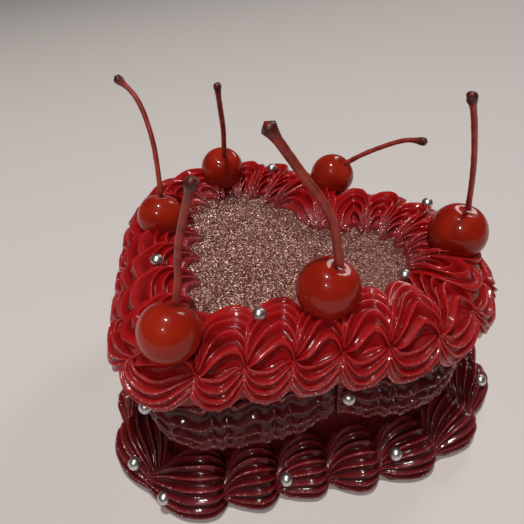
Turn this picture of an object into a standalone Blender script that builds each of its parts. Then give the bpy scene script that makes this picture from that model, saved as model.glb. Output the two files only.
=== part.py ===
"""A heart-shaped bento cake: an iced sponge with a glittered top, a reverse-shell border round
the top edge, six ruffled swags, a shell border round the foot, and six cherries on their stems.

Metres, +Z up. The origin is the centre of the flat underside, and the heart's tip points to -Y.
"Distance" is always measured round the cake's wall from the tip, positive to the right (+X),
and "out" is measured square to that wall.
"""
import math

import bmesh
import bpy
import numpy as np
from mathutils import Matrix, Vector

MM = 0.001
GAP = 0.3 * MM

# The heart: two 45 degree sides, two half-round lobes, a rounded tip and a rounded cleft
SIDE = 64 * MM
TIP_Y = -52.8 * MM
TIP_ROUND = 14 * MM
CLEFT_ROUND = 8 * MM
CAKE_HEIGHT = 47.5 * MM

LOBE_RADIUS = SIDE / 2
LOBE_X = SIDE / math.sqrt(8)
LOBE_Y = TIP_Y + 3 * LOBE_X
TIP_ARC = TIP_ROUND * math.pi / 4
STRAIGHT = SIDE - TIP_ROUND
CLEFT_Y = LOBE_Y + math.sqrt((LOBE_RADIUS + CLEFT_ROUND) ** 2 - LOBE_X ** 2)
LOBE_END = math.atan2(CLEFT_Y - LOBE_Y, -LOBE_X)
LOBE_ARC = LOBE_RADIUS * (LOBE_END + math.pi / 4)
CLEFT_ARC = CLEFT_ROUND * (LOBE_END - math.pi / 2)
HALF_LENGTH = TIP_ARC + STRAIGHT + LOBE_ARC + CLEFT_ARC

# Top border: strokes in pairs, an inner one arching over the top and an outer one over the side
STROKE_PAIRS = 26
FIRST_JOIN = 0.76
STROKE_PATH_OUT = -2 * MM
BED_CORNER_OUT = -4 * MM
BED_CORNER_Z = 40 * MM
BED_RADIUS = 8.6 * MM
BED_CROWN = 0.9 * MM
BED_INNER = -17 * MM
BED_FOOT_Z = 34.4 * MM
BED_FOOT_OUT = -2 * MM
BED_DEPTH = 2 * MM
BED_STATIONS = 76
INNER_ACROSS = 19.4 * MM
CURL_ACROSS = 20.8 * MM
CURL_HEIGHT = 7 * MM
INNER_HEIGHT = 5.4 * MM
OUTER_ACROSS = 11.6 * MM
OUTER_HEIGHT = 4.4 * MM
CLEFT_FILLING = Vector((0.4, 45.2, 41.6)) * MM
CLEFT_FILLING_RADIUS = 6.4 * MM
SEAT_GAP = 0.5 * MM
BORDER_KEPT = 0.5
STROKE_RIDGES = 2
STROKE_SUNK = 2.2 * MM
RIDGE_RELIEF = 0.6 * MM

# A stroke's outer edge and its heart at seven stations: how far along in shares of its pitch,
# and how far across in shares of its reach. Front strokes arch up from the crease, curled ones
# bend round the plate's edge, and cups hang down the side
FRONT_FROM = -8 * MM
FRONT_TO = 78 * MM
FRONT_EDGE = ((-0.50, 0.00), (-0.48, 0.36), (-0.18, 0.78), (0.24, 1.00), (0.64, 0.87), (0.80, 0.45),
              (0.64, -0.12))
FRONT_HEART = ((-0.47, -0.03), (-0.27, -0.08), (-0.02, -0.03), (0.20, 0.08), (0.33, 0.10), (0.39, 0.01),
               (0.38, -0.12))
CURL_EDGE = ((-0.50, 1.00), (-0.62, 0.60), (-0.46, 0.12), (0.00, -0.08), (0.46, 0.10), (0.62, 0.58),
             (0.52, 1.00))
CURL_HEART = ((-0.38, 1.00), (-0.16, 0.90), (-0.06, 0.80), (0.04, 0.76), (0.14, 0.80), (0.20, 0.90),
              (0.22, 1.00))
CUP_EDGE = ((-0.50, 0.02), (-0.58, 0.50), (-0.34, 0.94), (0.06, 0.98), (0.40, 0.66), (0.58, 0.30),
            (0.62, 0.10))
CUP_HEART = ((-0.42, -0.06), (-0.36, 0.00), (-0.20, 0.03), (0.04, 0.02), (0.30, -0.02), (0.50, 0.00),
             (0.60, 0.04))
FRONT_LEAN = 0.85
CURL_LEAN = 1.3
DOME_FULLNESS = 0.6
FULL_WIDTH = 0.62
THINNING = 0.7

# Foot border: teardrop shells whose tails point to the heart's tip
SHELLS_PER_HALF = 11
SHELL_OUT = 5 * MM
SHELL_Z = 4 * MM
SHELL_RADIUS = 9 * MM
SHELL_RIDGES = 5
SHELL_FIRST = -0.7 * MM
SHELL_GIRTHS = ((0, 0.34), (0.20, 0.66), (0.48, 0.95), (0.72, 1.0), (0.93, 0.84), (1.08, 0.50))
SHELL_NARROWING = 1.5 * MM
SHELL_FROM_DEGREES = -50
SHELL_TO_DEGREES = 155
TAIL_LAID = 7 * MM
TAIL_RISE = 0.6
TAIL_REACH = 0.6
SHELL_BACK = -3 * MM
FOOT_BAND_SECTION = ((-3, -3), (7, -3), (7, 4), (3, 7), (-3, 7))
FOOT_BAND_STATIONS = 60
FOOT_KEPT = 0.5
CLEFT_SHELL = Vector((0.3, 49.5, 3.4)) * MM

# Silver sugar balls: how far round, then how far across and off the bed or out and up, in mm
DRAGEE_RADIUS = 1.9 * MM
TOP_DRAGEES = ((28.1, 8.8, 5.4), (78.9, 17.3, 2.5), (127.3, 4.1, 6.9), (-132, 8.7, 6.4), (-86.5, 13, 7.5),
               (-28.7, 8.8, 7.4))
FOOT_DRAGEES = ((3.5, 12.5, 5.6), (31.1, 10.7, 7.9), (62, 9.9, 10.1), (94, 11, 10.3),
                (123, 12.1, 9), (150, 12.2, 9.5),
                (-3.3, 11, 8.8), (-32, 11.2, 8.6), (-63, 11.7, 8.8), (-94, 12.2, 10.1), (-124, 12.2, 9),
                (-151, 13.1, 9.9))
SWAG_DRAGEE = (2.2, 4.6, 30.5)

# Swags: ruffled drapes on the wall between the joints under the cherries
SWAG_TOP = 33.8 * MM
SWAG_THICKNESS = 4.4 * MM
SWAG_RUFFLES = 5
SWAG_FOLDS = 6
SWAG_SAG_POWER = 2.4
SWAG_BULGE = 0.55
SWAG_BELLY = 0.45
SWAG_WAVE = 0.16
SWAG_COUNTER_WAVE = 0.6
SWAG_JOINT_THICKNESS = 0.62
SWAG_HEM_WAVE = 0.5 * MM
SWAG_HEM_BACK = 0.8 * MM
SWAG_JOINT_LOW = 21.5 * MM

# Cherries and seats: rows in degrees from the stem's end, with the share of the radius there
DIMPLE_FLOOR = 0.8
FRUIT_ROWS = ((13, DIMPLE_FLOOR + 0.03), (26, 0.985), (52, 1), (78, 1), (104, 1), (130, 1), (157, 1))
FRUIT_SIDES = 12
BALL_ROWS = tuple((23 * step, 1) for step in range(1, 8))
BALL_SIDES = 16
STEM_SIDES = 6
STEM_STATIONS = 7
STEM_FOOT = 1.2
KNOB_REACH = 1.5 * MM
KNOB_SHOULDER = 0.9
KNOB_END = 0.6

# Each cherry: centre, radius, stem radius, knob radius, and its stem's route from the dimple to
# the knob, measured from that centre, in mm
CHERRIES = {
    "tip": ((5.6, -45.2, 56.4), 7.6, 0.85, 1.5,
            ((-0.3, 3.8, 5.6), (0.5, 5.0, 12.5), (2.0, 4.9, 20.0), (4.2, 4.9, 27.0), (10.2, 4.4, 40.5))),
    "right": ((28.4, -11.5, 56.8), 8.3, 1.1, 1.9,
              ((2.3, 1.2, 7.4), (0.4, 1.0, 16.6), (-1.9, -0.1, 23.3), (-5.3, -2.9, 30.1),
               (-11.4, -9.2, 43.9))),
    "right_lobe": ((46.3, 31.6, 56.8), 8.4, 0.75, 1.2,
                   ((1.4, 0.5, 7.9), (1.3, -3.0, 18.2), (1.1, -6.3, 26.5), (0.7, -12.4, 37.4),
                    (0.1, -17.4, 44.6))),
    "cleft": ((-3.2, 45.6, 56.2), 7.6, 0.8, 1.4,
              ((4.6, 0.6, 5.6), (9.6, 2.5, 9.0), (15.0, 5.0, 12.0), (22.4, 7.6, 15.2), (29.5, 8.7, 15.7))),
    "left_lobe": ((-40.7, 29.3, 56.2), 7.9, 0.9, 1.2,
                  ((3.0, -1.6, 6.8), (5.8, -4.1, 17.5), (8.1, -7.3, 27.0), (10.5, -10.5, 35.5))),
    "left": ((-34.9, -8.3, 56.0), 7.4, 0.8, 1.5,
             ((-0.4, 1.9, 6.9), (-3.2, 4.8, 15.5), (-7.0, 7.6, 24.3), (-12.6, 9.2, 33.4),
              (-19.6, 8.2, 39.3))),
}

# Swags, anticlockwise from the tip: the distance of each one's two joints, and how low it hangs, in mm
SWAG_JOINTS = (
    ("tip_to_right", -4.0, 46.5, 13.8),
    ("right_to_lobe", 46.5, 87.0, 18.0),
    ("round_right_lobe", 87.0, 124.0, 16.0),
    ("lobe_to_cleft", 124.0, 160.5, 15.5),
    ("cleft_to_lobe", -160.5, -124.0, 16.0),
    ("round_left_lobe", -124.0, -87.0, 15.5),
    ("lobe_to_left", -87.0, -47.0, 15.0),
    ("left_to_tip", -47.0, -4.0, 15.0),
)


def clear_scene():
    """Remove whatever the file holds."""
    for obj in list(bpy.data.objects):
        bpy.data.objects.remove(obj, do_unlink=True)


def make_material(name, colour, roughness, metallic=0.0):
    """A plain Principled material."""
    mat = bpy.data.materials.new(name)
    mat.use_nodes = True
    shader = mat.node_tree.nodes["Principled BSDF"]
    shader.inputs["Base Color"].default_value = (*colour, 1)
    shader.inputs["Roughness"].default_value = roughness
    shader.inputs["Metallic"].default_value = metallic
    mat.diffuse_color = (*colour, 1)
    return mat


def add_mesh(name, points, faces, mat):
    """One closed object from its corner points and faces, with the faces turned outward."""
    mesh = bpy.data.meshes.new(name)
    mesh.from_pydata([tuple(point) for point in points], [], faces)
    shape = bmesh.new()
    shape.from_mesh(mesh)
    bmesh.ops.triangulate(shape, faces=shape.faces)
    bmesh.ops.recalc_face_normals(shape, faces=shape.faces)
    shape.to_mesh(mesh)
    shape.free()
    mesh.materials.append(mat)
    obj = bpy.data.objects.new(name, mesh)
    bpy.context.scene.collection.objects.link(obj)
    return obj


def apply_boolean(obj, operation, others):
    """Union with, or cut by, a collection of objects that are removed afterwards."""
    group = bpy.data.collections.new("operands")
    for other in others:
        group.objects.link(other)
    modifier = obj.modifiers.new("boolean", "BOOLEAN")
    modifier.operation = operation
    modifier.operand_type = "COLLECTION"
    modifier.collection = group
    modifier.solver = "EXACT"
    bpy.context.view_layer.update()
    result = bpy.data.meshes.new_from_object(obj.evaluated_get(bpy.context.evaluated_depsgraph_get()))
    result.name = obj.name
    obj.modifiers.clear()
    obj.data = result
    for other in others:
        bpy.data.objects.remove(other, do_unlink=True)
    bpy.data.collections.remove(group)
    return obj


def thin_out(obj, share):
    """Merge the shortest edges until only a share of the triangles is left."""
    modifier = obj.modifiers.new("fewer", "DECIMATE")
    modifier.ratio = share
    bpy.context.view_layer.update()
    result = bpy.data.meshes.new_from_object(obj.evaluated_get(bpy.context.evaluated_depsgraph_get()))
    result.name = obj.name
    obj.modifiers.clear()
    obj.data = result
    return obj


def keep_largest_body(obj):
    """Drop the loose scraps that a cut leaves."""
    shape = bmesh.new()
    shape.from_mesh(obj.data)
    bmesh.ops.triangulate(shape, faces=shape.faces)
    bmesh.ops.remove_doubles(shape, verts=shape.verts, dist=0.001 * MM)
    unseen = set(shape.verts)
    bodies = []
    while unseen:
        body = set()
        edge_of_body = [unseen.pop()]
        while edge_of_body:
            vert = edge_of_body.pop()
            body.add(vert)
            for edge in vert.link_edges:
                other = edge.other_vert(vert)
                if other in unseen:
                    unseen.remove(other)
                    edge_of_body.append(other)
        bodies.append(body)
    bodies.sort(key=len)
    for body in bodies[:-1]:
        bmesh.ops.delete(shape, geom=list(body), context="VERTS")
    shape.to_mesh(obj.data)
    shape.free()
    return obj


def rail(distance):
    """The wall's point and outward normal at a distance from the tip."""
    side = math.copysign(1, distance)
    along = abs(distance)
    lobe_start = TIP_ARC + STRAIGHT
    if along < TIP_ARC:
        angle = -math.pi / 2 + along / TIP_ROUND
        centre, radius = (0, TIP_Y + TIP_ROUND * math.sqrt(2)), TIP_ROUND
    elif along < lobe_start:
        step = (along - TIP_ARC - STRAIGHT) / math.sqrt(2)
        angle = -math.pi / 4
        centre, radius = (LOBE_X + step, LOBE_Y + step), LOBE_RADIUS
    elif along < lobe_start + LOBE_ARC:
        angle = -math.pi / 4 + (along - lobe_start) / LOBE_RADIUS
        centre, radius = (LOBE_X, LOBE_Y), LOBE_RADIUS
    else:
        angle = LOBE_END - (along - lobe_start - LOBE_ARC) / CLEFT_ROUND
        centre, radius = (0, CLEFT_Y), -CLEFT_ROUND
    normal = Vector((math.cos(angle), math.sin(angle)))
    point = Vector(centre) + normal * radius
    return Vector((point.x * side, point.y)), Vector((normal.x * side, normal.y))


def spaced(share, out):
    """The distance at a share from -1 to 1 of the way from the tip to the cleft, shared out
    evenly along the curve that runs a given way out from the wall."""
    lengths = ((TIP_ROUND + out) * TIP_ARC / TIP_ROUND, STRAIGHT,
               (LOBE_RADIUS + out) * LOBE_ARC / LOBE_RADIUS, (CLEFT_ROUND - out) * CLEFT_ARC / CLEFT_ROUND)
    reached = abs(share) * sum(lengths)
    distance = 0
    for length, arc in zip(lengths, (TIP_ARC, STRAIGHT, LOBE_ARC, CLEFT_ARC)):
        distance += arc * min(max(reached / length, 0), 1)
        reached -= length
    return math.copysign(distance, share)


def place(distance, out, z):
    """A point in space, held back from folding over itself inside the tip and the cleft."""
    distance = (distance + HALF_LENGTH) % (2 * HALF_LENGTH) - HALF_LENGTH
    along = abs(distance)
    inward_limit = 0.8 * TIP_ROUND + max(0, along - TIP_ARC)
    outward_limit = 0.85 * CLEFT_ROUND + 1.9 * max(0, HALF_LENGTH - CLEFT_ARC - along)
    held = min(max(out, -inward_limit), outward_limit)
    point, normal = rail(distance)
    point = point + normal * held
    return Vector((point.x, point.y, z))


def heart_outline(out, spacing):
    """Corner points of the heart, offset from its wall: fewest on the straights."""
    half = [0.0]
    half += [TIP_ARC * step / 5 for step in range(1, 6)]
    arc_steps = round(LOBE_ARC / spacing)
    half += [TIP_ARC + STRAIGHT + LOBE_ARC * step / arc_steps for step in range(arc_steps + 1)]
    half += [HALF_LENGTH - CLEFT_ARC * step / 3 for step in (2, 1, 0)]
    points = []
    for distance in half + [-distance for distance in reversed(half[1:-1])]:
        point, normal = rail(distance)
        points.append(point + normal * out)
    return points


def heart_prism(name, out, bottom, top, mat):
    """An upright heart-shaped block."""
    outline = heart_outline(out, 4 * MM)
    count = len(outline)
    points = [(point.x, point.y, z) for z in (bottom, top) for point in outline]
    faces = [tuple(range(count)), tuple(range(count, 2 * count))]
    faces += [(i, (i + 1) % count, (i + 1) % count + count, i + count) for i in range(count)]
    return add_mesh(name, points, faces, mat)


def bed_profile(across):
    """The surface that the strokes lie on, from the crease between the two rows: across is
    positive towards the plate and negative down the side. Gives out, z and the normal's two."""
    quarter = BED_RADIUS * math.pi / 4
    if across > quarter:
        return BED_CORNER_OUT - (across - quarter), BED_CORNER_Z + BED_RADIUS, 0, 1
    if across < -quarter:
        return BED_CORNER_OUT + BED_RADIUS, BED_CORNER_Z + across + quarter, 1, 0
    angle = math.pi / 4 - across / BED_RADIUS
    sine, cosine = math.sin(angle), math.cos(angle)
    return BED_CORNER_OUT + BED_RADIUS * sine, BED_CORNER_Z + BED_RADIUS * cosine, sine, cosine


def on_bed(distance, across, lift):
    """A point lifted square off the bed."""
    out, z, normal_out, normal_z = bed_profile(across)
    return place(distance, out + normal_out * lift, z + normal_z * lift)


def border_bed(mat):
    """The band of icing under the strokes, over the cake's top edge and down its side."""
    quarter = BED_RADIUS * math.pi / 4
    top_z = BED_CORNER_Z + BED_RADIUS
    section = [(BED_INNER, top_z - BED_DEPTH), (BED_INNER, top_z)]
    for across in (quarter, quarter / 2, 0, -quarter / 2, -quarter):
        out, z, normal_out, normal_z = bed_profile(across)
        crown = BED_CROWN if abs(across) < quarter else 0
        section.append((out + normal_out * crown, z + normal_z * crown))
    section += [(BED_CORNER_OUT + BED_RADIUS, BED_FOOT_Z), (BED_FOOT_OUT, BED_FOOT_Z)]
    stations = np.linspace(-HALF_LENGTH, HALF_LENGTH, BED_STATIONS, endpoint=False)
    points = [place(distance, out, z) for distance in stations for out, z in section]
    return add_mesh("top_border", points, ring_faces(len(stations), len(section)), mat)


def ring_faces(stations, corners):
    """Faces of a closed ring swept from one closed section."""
    faces = []
    for i in range(stations):
        for j in range(corners):
            here, there = i * corners, ((i + 1) % stations) * corners
            follow = (j + 1) % corners
            faces.append((here + j, there + j, there + follow, here + follow))
    return faces


def tube_faces(stations, corners):
    """Faces of an open sweep with both ends capped."""
    faces = [tuple(range(corners)), tuple(range((stations - 1) * corners, stations * corners))]
    for i in range(stations - 1):
        for j in range(corners):
            here, there = i * corners, (i + 1) * corners
            follow = (j + 1) % corners
            faces.append((here + j, there + j, there + follow, here + follow))
    return faces


def stroke(start, end, edge, heart, lean, across, height, way, mat):
    """One squeeze of piping, domed between its heart and its outer edge and flat at both ends.
    Way is 1 for a stroke over the top and -1 for one down the side."""
    steps = 2 * STROKE_RIDGES + 1
    centre, pitch = (start + end) / 2, end - start
    hearts = [Vector((along * pitch, aside * across)) for along, aside in heart]
    edges = [Vector((along * pitch, aside * across)) for along, aside in edge]
    widths = [(outer - inner).length for inner, outer in zip(hearts, edges)]
    points = []
    for i, (inner, outer) in enumerate(zip(hearts, edges)):
        swell = min(1, widths[i] / (FULL_WIDTH * max(widths))) ** THINNING * (0 < i < len(edges) - 1)
        for step in range(steps + 1):
            reach = step / steps
            place_on = inner.lerp(outer, reach)
            on_dome = 0 < step < steps
            dome = math.sin(math.pi * reach ** lean) ** DOME_FULLNESS if on_dome else 0
            ridge = RIDGE_RELIEF * (1 if step % 2 else -1) * on_dome
            points.append(on_bed(centre + place_on.x, way * place_on.y, (height * dome + ridge) * swell))
        points.append(on_bed(centre + outer.x, way * outer.y, -STROKE_SUNK))
        points.append(on_bed(centre + inner.x, way * inner.y, -STROKE_SUNK))
    return add_mesh("stroke", points, tube_faces(len(edges), steps + 3), mat)


def dragee(centre, mat):
    """A silver sugar ball."""
    shape = bmesh.new()
    bmesh.ops.create_icosphere(shape, subdivisions=1, radius=DRAGEE_RADIUS,
                               matrix=Matrix.Translation(centre))
    mesh = bpy.data.meshes.new("dragee")
    shape.to_mesh(mesh)
    shape.free()
    mesh.materials.append(mat)
    obj = bpy.data.objects.new("dragee", mesh)
    bpy.context.scene.collection.objects.link(obj)
    return obj


def cherry_ball(name, centre, radius, axis, mat, dimple=True):
    """A fruit turned round its stem's axis, or a plain ball for its seat."""
    rows = FRUIT_ROWS if dimple else BALL_ROWS
    sides = FRUIT_SIDES if dimple else BALL_SIDES
    points = []
    for row, share in rows:
        angle = math.radians(row)
        for i in range(sides):
            turn = 2 * math.pi * i / sides
            points.append(radius * share * Vector((math.sin(angle) * math.cos(turn),
                                                   math.sin(angle) * math.sin(turn), math.cos(angle))))
    top, bottom = len(points), len(points) + 1
    points += [Vector((0, 0, radius * (DIMPLE_FLOOR if dimple else 1))), Vector((0, 0, -radius))]
    turned = Vector((0, 0, 1)).rotation_difference(axis).to_matrix()
    points = [centre + turned @ point for point in points]
    faces = [(top, i, (i + 1) % sides) for i in range(sides)]
    last = (len(rows) - 1) * sides
    faces += [(bottom, last + i, last + (i + 1) % sides) for i in range(sides)]
    for row in range(len(rows) - 1):
        for i in range(sides):
            here, follow = row * sides + i, row * sides + (i + 1) % sides
            faces.append((here, follow, follow + sides, here + sides))
    return add_mesh(name, points, faces, mat)


def curve_through(route, count):
    """Points spread along a Catmull-Rom curve through the route's points."""
    ends = [route[0] * 2 - route[1]] + list(route) + [route[-1] * 2 - route[-2]]
    points = []
    for step in np.linspace(0, len(route) - 1, count):
        i = min(int(step), len(route) - 2)
        t = step - i
        a, b, c, d = ends[i:i + 4]
        points.append(0.5 * ((2 * b) + (c - a) * t + (2 * a - 5 * b + 4 * c - d) * t * t
                             + (3 * b - a - 3 * c + d) * t ** 3))
    return points


def make_stem(name, route, radius, knob_radius, mat):
    """A thin stem that widens at its foot and ends in a knob."""
    centres = curve_through(route, STEM_STATIONS)
    direction = (centres[-1] - centres[-2]).normalized()
    centres[-1:] = [centres[-1] - direction * KNOB_REACH * 2, centres[-1] - direction * KNOB_REACH,
                    centres[-1], centres[-1] + direction * KNOB_REACH * KNOB_END]
    radii = [radius * STEM_FOOT] + [radius] * (STEM_STATIONS - 2)
    radii += [radius * STEM_FOOT, knob_radius * KNOB_SHOULDER, knob_radius, knob_radius * KNOB_END]
    points = []
    for i, centre in enumerate(centres):
        before, after = centres[max(i - 1, 0)], centres[min(i + 1, len(centres) - 1)]
        along = (after - before).normalized()
        across = along.cross(Vector((0.3, 0.9, 0.1))).normalized()
        upright = along.cross(across)
        for j in range(STEM_SIDES):
            turn = 2 * math.pi * j / STEM_SIDES
            points.append(centre + (across * math.cos(turn) + upright * math.sin(turn)) * radii[i])
    return add_mesh(name, points, tube_faces(len(centres), STEM_SIDES), mat)


def make_top_border(cream, silver):
    """Bed, strokes and dragées joined, cut clear of the cake and of the cherries' seats."""
    border = border_bed(cream)
    parts = []
    joins = [spaced(-1 + 2 * (i + FIRST_JOIN) / STROKE_PAIRS, STROKE_PATH_OUT) for i in range(STROKE_PAIRS)]
    joins.append(joins[0] + 2 * HALF_LENGTH)
    for start, end in zip(joins, joins[1:]):
        if FRONT_FROM < (start + end) / 2 < FRONT_TO:
            parts.append(stroke(start, end, FRONT_EDGE, FRONT_HEART, FRONT_LEAN, INNER_ACROSS,
                                INNER_HEIGHT, 1, cream))
        else:
            parts.append(stroke(start, end, CURL_EDGE, CURL_HEART, CURL_LEAN, CURL_ACROSS,
                                CURL_HEIGHT, 1, cream))
        parts.append(stroke(start, end, CUP_EDGE, CUP_HEART, FRONT_LEAN, OUTER_ACROSS, OUTER_HEIGHT, -1,
                            cream))
    for distance, across, lift in TOP_DRAGEES:
        parts.append(dragee(on_bed(distance * MM, across * MM, lift * MM), silver))
    parts.append(cherry_ball("cleft_filling", CLEFT_FILLING, CLEFT_FILLING_RADIUS, Vector((0, 0, 1)), cream,
                             dimple=False))
    apply_boolean(border, "UNION", parts)
    thin_out(keep_largest_body(border), BORDER_KEPT)
    cutters = [heart_prism("cake_space", GAP, -10 * MM, CAKE_HEIGHT + GAP, cream)]
    for name, (centre, radius, _, _, _) in CHERRIES.items():
        cutters.append(cherry_ball("seat_" + name, Vector(centre) * MM, radius * MM + SEAT_GAP,
                                   Vector((0, 0, 1)), cream, dimple=False))
    apply_boolean(border, "DIFFERENCE", cutters)
    return keep_largest_body(border)


def shell(start, pitch, way, mat):
    """One teardrop of the foot border, from its tail, laid on the last head, to its blunt head."""
    corners = 2 * SHELL_RIDGES + 1
    points = []
    for share, girth in SHELL_GIRTHS:
        radius = SHELL_RADIUS * girth
        laid = TAIL_LAID * (1 - girth) * max(0, 1 - share / TAIL_REACH)
        centre_out = SHELL_OUT - SHELL_NARROWING * (1 - girth) + laid
        centre_z = SHELL_Z * girth + TAIL_RISE * laid
        for j in range(corners):
            turned = (SHELL_TO_DEGREES - SHELL_FROM_DEGREES) * j / (corners - 1)
            angle = math.radians(SHELL_FROM_DEGREES + turned)
            ridge = RIDGE_RELIEF * (1 if j % 2 else -1) * girth
            points.append(place(way * (start + pitch * share),
                                centre_out + (radius + ridge) * math.cos(angle),
                                centre_z + (radius + ridge) * math.sin(angle)))
        points.append(place(way * (start + pitch * share), SHELL_BACK, SHELL_BACK))
    return add_mesh("shell", points, tube_faces(len(SHELL_GIRTHS), corners + 1), mat)


def make_foot_border(cream, silver):
    """Shells in two rows that meet at the tip and at the cleft, standing flat on the table."""
    pitch = HALF_LENGTH / SHELLS_PER_HALF
    parts = []
    for way in (1, -1):
        for i in range(SHELLS_PER_HALF):
            parts.append(shell(i * pitch + SHELL_FIRST, pitch, way, cream))
    for distance, out, z in FOOT_DRAGEES:
        parts.append(dragee(place(distance * MM, out * MM, z * MM), silver))
    stations = np.linspace(-HALF_LENGTH, HALF_LENGTH, FOOT_BAND_STATIONS, endpoint=False)
    points = [place(distance, out * MM, z * MM) for distance in stations for out, z in FOOT_BAND_SECTION]
    border = add_mesh("foot_border", points, ring_faces(len(stations), len(FOOT_BAND_SECTION)), cream)
    parts.append(cherry_ball("cleft_shell", CLEFT_SHELL, SHELL_RADIUS, Vector((0, 0, 1)), cream,
                             dimple=False))
    apply_boolean(border, "UNION", parts)
    thin_out(keep_largest_body(border), FOOT_KEPT)
    floor = add_mesh("below_table", [(x, y, z) for x in (-0.1, 0.1) for y in (-0.1, 0.1) for z in (-0.05, 0)],
                     [(0, 1, 3, 2), (4, 5, 7, 6), (0, 1, 5, 4), (2, 3, 7, 6), (0, 2, 6, 4),
                     (1, 3, 7, 5)], cream)
    cake_space = heart_prism("cake_space", GAP, -10 * MM, 30 * MM, cream)
    apply_boolean(border, "DIFFERENCE", [cake_space, floor])
    return keep_largest_body(border)


def make_swag(name, start, end, low, cream, silver):
    """A drape between two joints: three ruffled folds on a flat back."""
    stations = 2 * SWAG_RUFFLES + 1
    first, last = start * MM + GAP, end * MM - GAP
    points = []
    for i in range(stations):
        share = i / (stations - 1)
        sag = 1 - abs(2 * share - 1) ** SWAG_SAG_POWER
        thickness = SWAG_THICKNESS * (SWAG_JOINT_THICKNESS + (1 - SWAG_JOINT_THICKNESS) * sag)
        bottom = SWAG_JOINT_LOW + (low * MM - SWAG_JOINT_LOW) * sag
        distance = first + (last - first) * share
        wave = 1 if i % 2 else -1
        for j in range(SWAG_FOLDS + 1):
            down = j / SWAG_FOLDS
            bulge = SWAG_BULGE + SWAG_BELLY * math.sin(math.pi * down)
            bulge += SWAG_WAVE * wave * (1 if j % 2 else -SWAG_COUNTER_WAVE)
            z = SWAG_TOP + (bottom - SWAG_TOP) * down + (SWAG_HEM_WAVE * wave if j == SWAG_FOLDS else 0)
            points.append(place(distance, GAP + thickness * bulge, z))
        points.append(place(distance, GAP, bottom + SWAG_HEM_BACK))
        points.append(place(distance, GAP, SWAG_TOP))
    swag = add_mesh("swag_" + name, points, tube_faces(stations, SWAG_FOLDS + 3), cream)
    along, out, z = SWAG_DRAGEE
    ball = dragee(place(first + along * MM, out * MM, z * MM), silver)
    return keep_largest_body(apply_boolean(swag, "UNION", [ball]))


def make_cherries(fruit, stalk):
    """Six cherries on the border, each with its stem standing clear in the dimple."""
    for name, (centre, radius, stem_radius, knob_radius, route) in CHERRIES.items():
        middle = Vector(centre) * MM
        axis = Vector(route[0]).normalized()
        cherry_ball("cherry_" + name, middle, radius * MM, axis, fruit)
        foot = axis * (DIMPLE_FLOOR * radius * MM + 2 * GAP)
        centres = [middle + foot] + [middle + Vector(spot) * MM for spot in route[1:]]
        make_stem("stem_" + name, centres, stem_radius * MM, knob_radius * MM, stalk)


def main():
    clear_scene()
    cream = make_material("crimson_cream", (0.42, 0.01, 0.015), 0.35)
    glitter = make_material("rose_glitter", (0.30, 0.13, 0.11), 0.4, 0.5)
    swag_cream = make_material("dark_cream", (0.16, 0.01, 0.02), 0.35)
    silver = make_material("silver_sugar", (0.75, 0.75, 0.72), 0.2, 1.0)
    fruit = make_material("cherry_skin", (0.40, 0.02, 0.005), 0.15)
    stalk = make_material("cherry_stem", (0.20, 0.01, 0.01), 0.4)
    heart_prism("cake", 0, 0, CAKE_HEIGHT, glitter)
    make_top_border(cream, silver)
    make_foot_border(cream, silver)
    for name, start, end, low in SWAG_JOINTS:
        make_swag(name, start, end, low, swag_cream, silver)
    make_cherries(fruit, stalk)


main()
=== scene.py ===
import math

import bpy
import numpy as np
from mathutils import Matrix, Vector, noise


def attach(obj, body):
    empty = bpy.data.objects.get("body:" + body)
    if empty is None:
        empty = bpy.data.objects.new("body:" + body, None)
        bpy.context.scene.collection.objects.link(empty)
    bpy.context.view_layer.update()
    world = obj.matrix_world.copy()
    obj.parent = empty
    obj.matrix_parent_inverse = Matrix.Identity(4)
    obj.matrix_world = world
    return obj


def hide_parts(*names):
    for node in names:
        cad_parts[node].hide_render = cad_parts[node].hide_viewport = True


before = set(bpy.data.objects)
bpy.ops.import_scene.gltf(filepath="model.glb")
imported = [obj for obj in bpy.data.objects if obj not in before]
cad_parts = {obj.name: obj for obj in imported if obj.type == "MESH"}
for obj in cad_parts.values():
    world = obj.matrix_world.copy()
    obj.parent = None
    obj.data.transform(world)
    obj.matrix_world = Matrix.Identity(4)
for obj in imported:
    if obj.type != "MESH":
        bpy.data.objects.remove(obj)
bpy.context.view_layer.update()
MM = 0.001

# The camera stands at the front right and above, as the photograph's did, about 180 mm from the cake.
# Its place and turn come from the cake's own straight sides and cherries.
CAMERA_PLACE = Vector((0.0743, -0.0973, 0.1353))
CAMERA_RIGHT = Vector((0.8060, 0.5905, -0.0390))
CAMERA_UP = Vector((-0.3205, 0.4913, 0.8098))
CAMERA_BACK = Vector((0.4975, -0.6403, 0.5853))
LENS_LENGTH_MM = 33.81
SENSOR_WIDTH_MM = 36
lens = bpy.data.cameras.new("photo_camera")
lens.lens = LENS_LENGTH_MM
lens.sensor_width = SENSOR_WIDTH_MM
lens.clip_start = 0.001
camera = bpy.data.objects.new("photo_camera", lens)
camera.matrix_world = Matrix.Translation(CAMERA_PLACE) @ Matrix(
    (CAMERA_RIGHT, CAMERA_UP, CAMERA_BACK)).transposed().to_4x4()
bpy.context.scene.collection.objects.link(camera)
bpy.context.scene.camera = camera

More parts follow.
